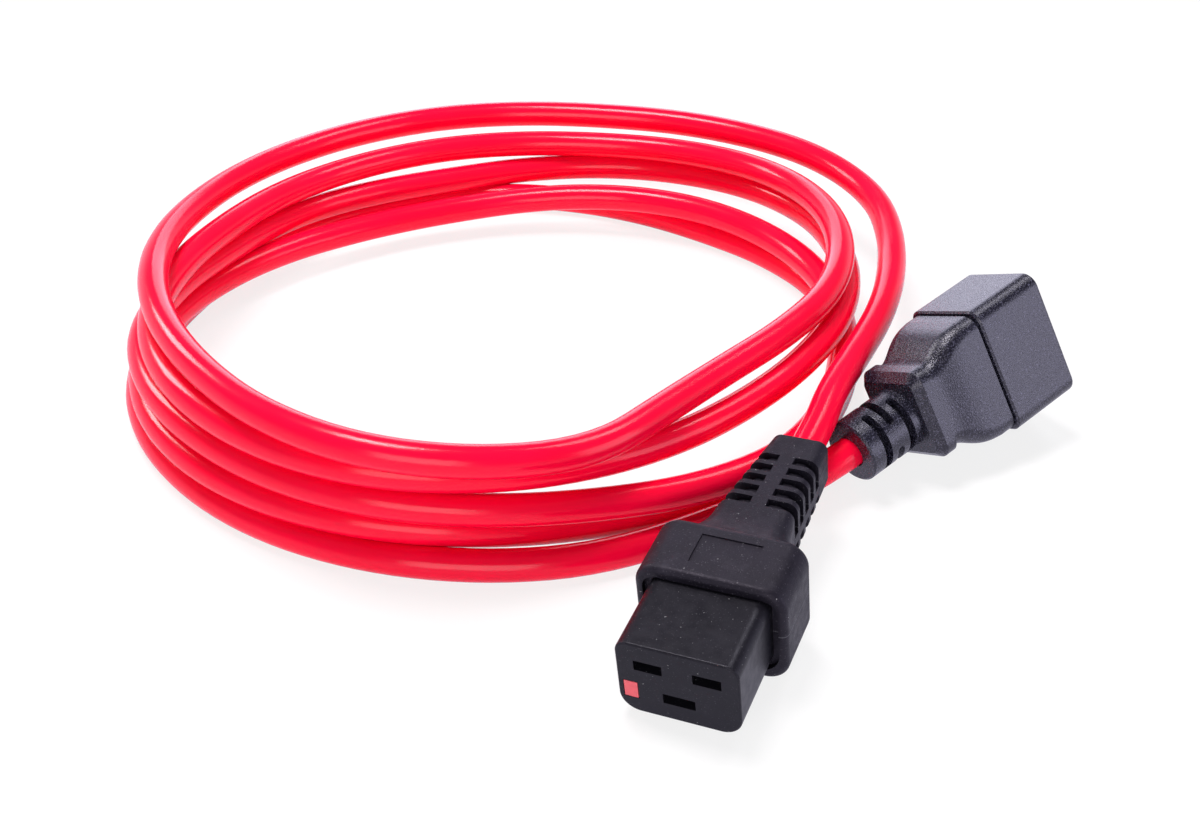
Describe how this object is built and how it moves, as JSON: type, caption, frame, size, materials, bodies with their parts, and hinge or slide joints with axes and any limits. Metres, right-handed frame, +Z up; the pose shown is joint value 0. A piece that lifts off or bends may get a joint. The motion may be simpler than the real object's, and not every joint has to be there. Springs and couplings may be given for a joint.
{
  "type": "locking rack power cord",
  "caption": "Flexible red rack power cord, loosely coiled, with a locking female connector and a moulded male plug.",
  "frame": {"origin": "middle of the footprint of the two moulded ends, on the surface they lie on", "axes": "+Z up; +Y along the connector, from its mating face towards its cord; +X to the right seen from the mating face, so the coil lies at -X"},
  "size_m": [0.2551, 0.2424, 0.043],
  "materials": {
    "cord_jacket": "smooth flexible jacket, slight sheen",
    "connector_face": "smooth black nylon, satin",
    "overmould": "black flexible overmould, fine matte texture",
    "plug_mould": "black, fine spark-eroded sparkle",
    "release_red": "red, smooth",
    "steel": "bright strip steel",
    "contact_brass": "stamped brass",
    "pin_metal": "nickel-plated brass",
    "core_brown": "smooth",
    "core_blue": "smooth",
    "core_green_yellow": "smooth"
  },
  "bodies": {
    "cord": {"connector_insert": "connector_face", "connector_insert_cap": "connector_face", "connector_hood": "overmould", "release_spring": "steel", "connector_line_contact": "contact_brass", "connector_neutral_contact": "contact_brass", "connector_earth_contact": "contact_brass", "connector_line_core": "core_brown", "connector_neutral_core": "core_blue", "connector_earth_core": "core_green_yellow", "plug_shroud": "plug_mould", "plug_pin_base": "plug_mould", "plug_body": "plug_mould", "plug_line_pin": "pin_metal", "plug_neutral_pin": "pin_metal", "plug_earth_pin": "pin_metal", "plug_line_core": "core_brown", "plug_neutral_core": "core_blue", "plug_earth_core": "core_green_yellow", "cord_coil": "cord_jacket", "cord_lead_connector": "cord_jacket", "cord_lead_plug": "cord_jacket"},
    "release": {"release_slide": "release_red", "lock_plate": "steel"}
  },
  "joints": [
    {"name": "release_slide", "type": "slide", "parent": "cord", "child": "release", "axis": [0, 0.9962, 0.0872], "range_m": [0, 0.003], "stiffness_N_per_m": 1500, "deforming": ["release_spring"]}
  ]
}
